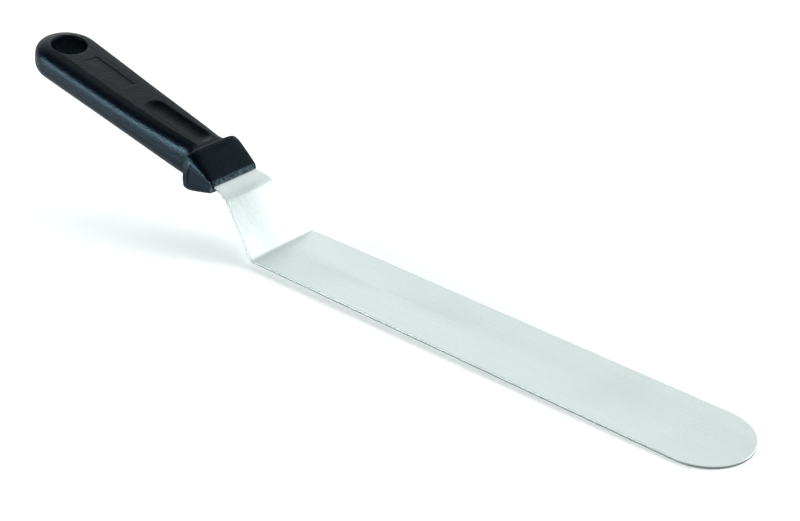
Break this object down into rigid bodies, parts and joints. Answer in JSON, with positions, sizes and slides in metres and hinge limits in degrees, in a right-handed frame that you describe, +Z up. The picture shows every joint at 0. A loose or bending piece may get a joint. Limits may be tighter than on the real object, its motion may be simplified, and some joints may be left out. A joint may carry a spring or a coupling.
{
  "type": "offset palette knife",
  "caption": "Long flat steel blade with a round end, cranked up at the heel to a moulded plastic grip with a hanging hole.",
  "frame": {"origin": "middle of the blade's flat underside, halfway between the heel fold and the tip", "axes": "+X along the blade from the heel to the tip, +Y across the blade, +Z up, away from the surface the blade lies on"},
  "size_m": [0.4157, 0.04, 0.0648],
  "materials": {
    "steel": "fine satin, brushed along the blade",
    "grip_plastic": "black, finely grained, with a soft sheen"
  },
  "bodies": {
    "root": {"blade": "steel", "handle": "grip_plastic"}
  },
  "joints": []
}
